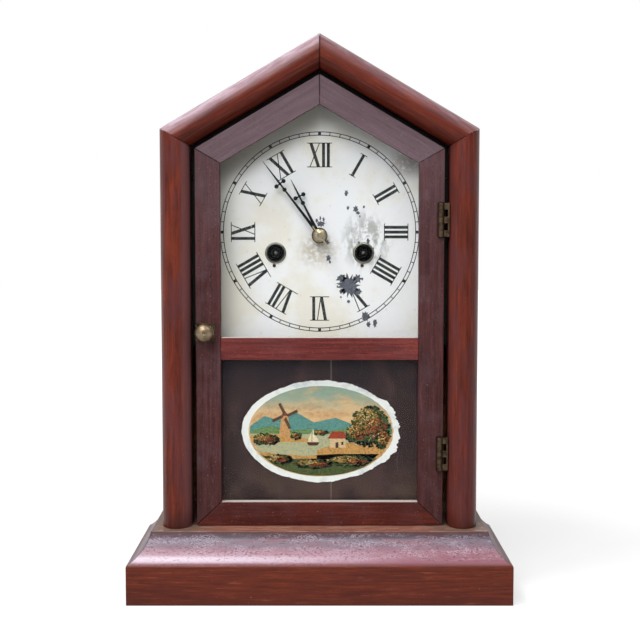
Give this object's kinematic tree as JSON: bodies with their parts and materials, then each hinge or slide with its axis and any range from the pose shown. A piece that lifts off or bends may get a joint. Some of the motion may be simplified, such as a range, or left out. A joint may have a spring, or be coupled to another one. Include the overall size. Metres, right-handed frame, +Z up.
{
  "type": "ogee shelf clock",
  "caption": "Gabled wooden shelf clock with a coved base, half-round mouldings, a glazed door, a painted dial and a spring-driven striking movement with a pendulum.",
  "frame": {"origin": "middle of the underside of the base, half-way between its front face and its back", "axes": "+X to the right seen from the front, +Y to the back, +Z up"},
  "size_m": [0.2372, 0.108, 0.3502],
  "materials": {
    "case_wood": "worn reddish mahogany stain, satin",
    "door_wood": "dull purple-brown stain, satin",
    "board_wood": "stained board",
    "inner_wood": "bare pine",
    "brass": "satin",
    "aged_brass": "dark aged",
    "steel": "satin",
    "blued_steel": "blue-black",
    "cast_iron": "rough",
    "dial_paint": "aged off-white paint on zinc",
    "clear_glass": "clear",
    "painted_glass": "back painted, opaque"
  },
  "bodies": {
    "case": {"base_front_moulding": "case_wood", "base_left_moulding": "case_wood", "base_right_moulding": "case_wood", "base_board": "case_wood", "left_column": "case_wood", "right_column": "case_wood", "left_side_board": "board_wood", "right_side_board": "board_wood", "left_gable_moulding": "case_wood", "right_gable_moulding": "case_wood", "left_roof_board": "board_wood", "right_roof_board": "board_wood", "back_board": "inner_wood", "left_dial_batten": "inner_wood", "right_dial_batten": "inner_wood", "dial_plate": "dial_paint", "left_winding_eyelet": "brass", "right_winding_eyelet": "brass", "upper_case_leaf": "aged_brass", "lower_case_leaf": "aged_brass", "front_plate": "brass", "back_plate": "brass", "time_mainspring": "blued_steel", "strike_mainspring": "blued_steel", "gong_block": "cast_iron", "gong_coil": "blued_steel"},
    "door": {"door_left_stile": "door_wood", "door_right_stile": "door_wood", "door_left_gable_rail": "door_wood", "door_right_gable_rail": "door_wood", "door_bottom_rail": "door_wood", "door_middle_rail": "door_wood", "upper_glass": "clear_glass", "tablet_glass": "painted_glass", "knob_plate": "aged_brass", "upper_door_leaf": "aged_brass", "lower_door_leaf": "aged_brass"},
    "knob": {"door_knob": "brass", "latch_tongue": "aged_brass"},
    "minute": {"centre_arbor": "steel", "minute_hand": "blued_steel", "hand_collet": "brass", "taper_pin": "brass"},
    "idler": {"minute_wheel": "brass"},
    "hour": {"hour_hand": "blued_steel", "hour_wheel": "brass"},
    "escape": {"escape_wheel": "brass"},
    "third": {"third_wheel": "brass"},
    "centre": {"centre_wheel": "brass"},
    "second": {"second_wheel": "brass"},
    "time_great": {"time_great_wheel": "brass"},
    "time_arbor": {"time_winding_arbor": "steel"},
    "strike_arbor": {"strike_winding_arbor": "steel"},
    "pendulum": {"pendulum_rod": "steel", "pendulum_bob": "brass"},
    "anchor": {"verge": "steel"},
    "fly": {"strike_fly": "brass"},
    "pin_wheel": {"strike_pin_wheel": "brass"},
    "strike_great": {"strike_great_wheel": "brass"},
    "hammer": {"strike_hammer": "brass"}
  },
  "joints": [
    {"name": "door_hinge", "type": "hinge", "parent": "case", "child": "door", "pos_m": [0.07525, -0.0265, 0.16], "axis": [0, 0, 1], "range_deg": [0, 130]},
    {"name": "knob_turn", "type": "hinge", "parent": "door", "child": "knob", "pos_m": [-0.0713, 0, 0.1658], "axis": [0, 1, 0], "range_deg": [0, 90]},
    {"name": "minute_turn", "type": "hinge", "parent": "case", "child": "minute", "pos_m": [0, 0, 0.22585], "axis": [0, 1, 0], "continuous": true},
    {"name": "idler_turn", "type": "hinge", "parent": "case", "child": "idler", "pos_m": [0, 0, 0.21085], "axis": [0, 1, 0], "continuous": true},
    {"name": "hour_turn", "type": "hinge", "parent": "case", "child": "hour", "pos_m": [0, 0, 0.22585], "axis": [0, 1, 0], "continuous": true},
    {"name": "escape_turn", "type": "hinge", "parent": "case", "child": "escape", "pos_m": [-0.009, 0, 0.24285], "axis": [0, 1, 0], "continuous": true},
    {"name": "third_turn", "type": "hinge", "parent": "case", "child": "third", "pos_m": [0.00717, 0, 0.24187], "axis": [0, 1, 0], "continuous": true},
    {"name": "centre_turn", "type": "hinge", "parent": "case", "child": "centre", "pos_m": [0, 0, 0.22585], "axis": [0, 1, 0], "continuous": true},
    {"name": "second_turn", "type": "hinge", "parent": "case", "child": "second", "pos_m": [0.002, 0, 0.20675], "axis": [0, 1, 0], "continuous": true},
    {"name": "time_great_turn", "type": "hinge", "parent": "case", "child": "time_great", "pos_m": [0.028, 0, 0.21475], "axis": [0, 1, 0], "continuous": true},
    {"name": "time_winding", "type": "hinge", "parent": "case", "child": "time_arbor", "pos_m": [0.028, 0, 0.21475], "axis": [0, 1, 0], "range_deg": [0, 1260]},
    {"name": "strike_winding", "type": "hinge", "parent": "case", "child": "strike_arbor", "pos_m": [-0.028, 0, 0.21475], "axis": [0, 1, 0], "range_deg": [0, 1260]},
    {"name": "pendulum_swing", "type": "hinge", "parent": "case", "child": "pendulum", "pos_m": [-0.009, 0, 0.26085], "axis": [0, 1, 0], "range_deg": [-3.5, 3.5]},
    {"name": "anchor_rock", "type": "hinge", "parent": "case", "child": "anchor", "pos_m": [-0.009, 0, 0.26085], "axis": [0, 1, 0], "range_deg": [-3.5, 3.5]},
    {"name": "fly_turn", "type": "hinge", "parent": "case", "child": "fly", "pos_m": [-0.0339, 0, 0.25816], "axis": [0, 1, 0], "continuous": true},
    {"name": "pin_wheel_turn", "type": "hinge", "parent": "case", "child": "pin_wheel", "pos_m": [-0.028, 0, 0.24195], "axis": [0, 1, 0], "continuous": true},
    {"name": "strike_great_turn", "type": "hinge", "parent": "case", "child": "strike_great", "pos_m": [-0.028, 0, 0.21475], "axis": [0, 1, 0], "continuous": true},
    {"name": "hammer_lift", "type": "hinge", "parent": "case", "child": "hammer", "pos_m": [-0.047, 0, 0.24195], "axis": [0, 1, 0], "range_deg": [0, 10]}
  ],
  "couplings": [
    {"joint": "idler_turn", "follows": "minute_turn", "ratio": -0.33333},
    {"joint": "hour_turn", "follows": "minute_turn", "ratio": 0.083333},
    {"joint": "third_turn", "follows": "escape_turn", "ratio": -0.090909},
    {"joint": "centre_turn", "follows": "escape_turn", "ratio": 0.0075758},
    {"joint": "second_turn", "follows": "escape_turn", "ratio": -0.0010823},
    {"joint": "time_great_turn", "follows": "escape_turn", "ratio": 0.0001443},
    {"joint": "anchor_rock", "follows": "pendulum_swing", "ratio": 1},
    {"joint": "pin_wheel_turn", "follows": "fly_turn", "ratio": -0.15},
    {"joint": "strike_great_turn", "follows": "fly_turn", "ratio": 0.02}
  ]
}
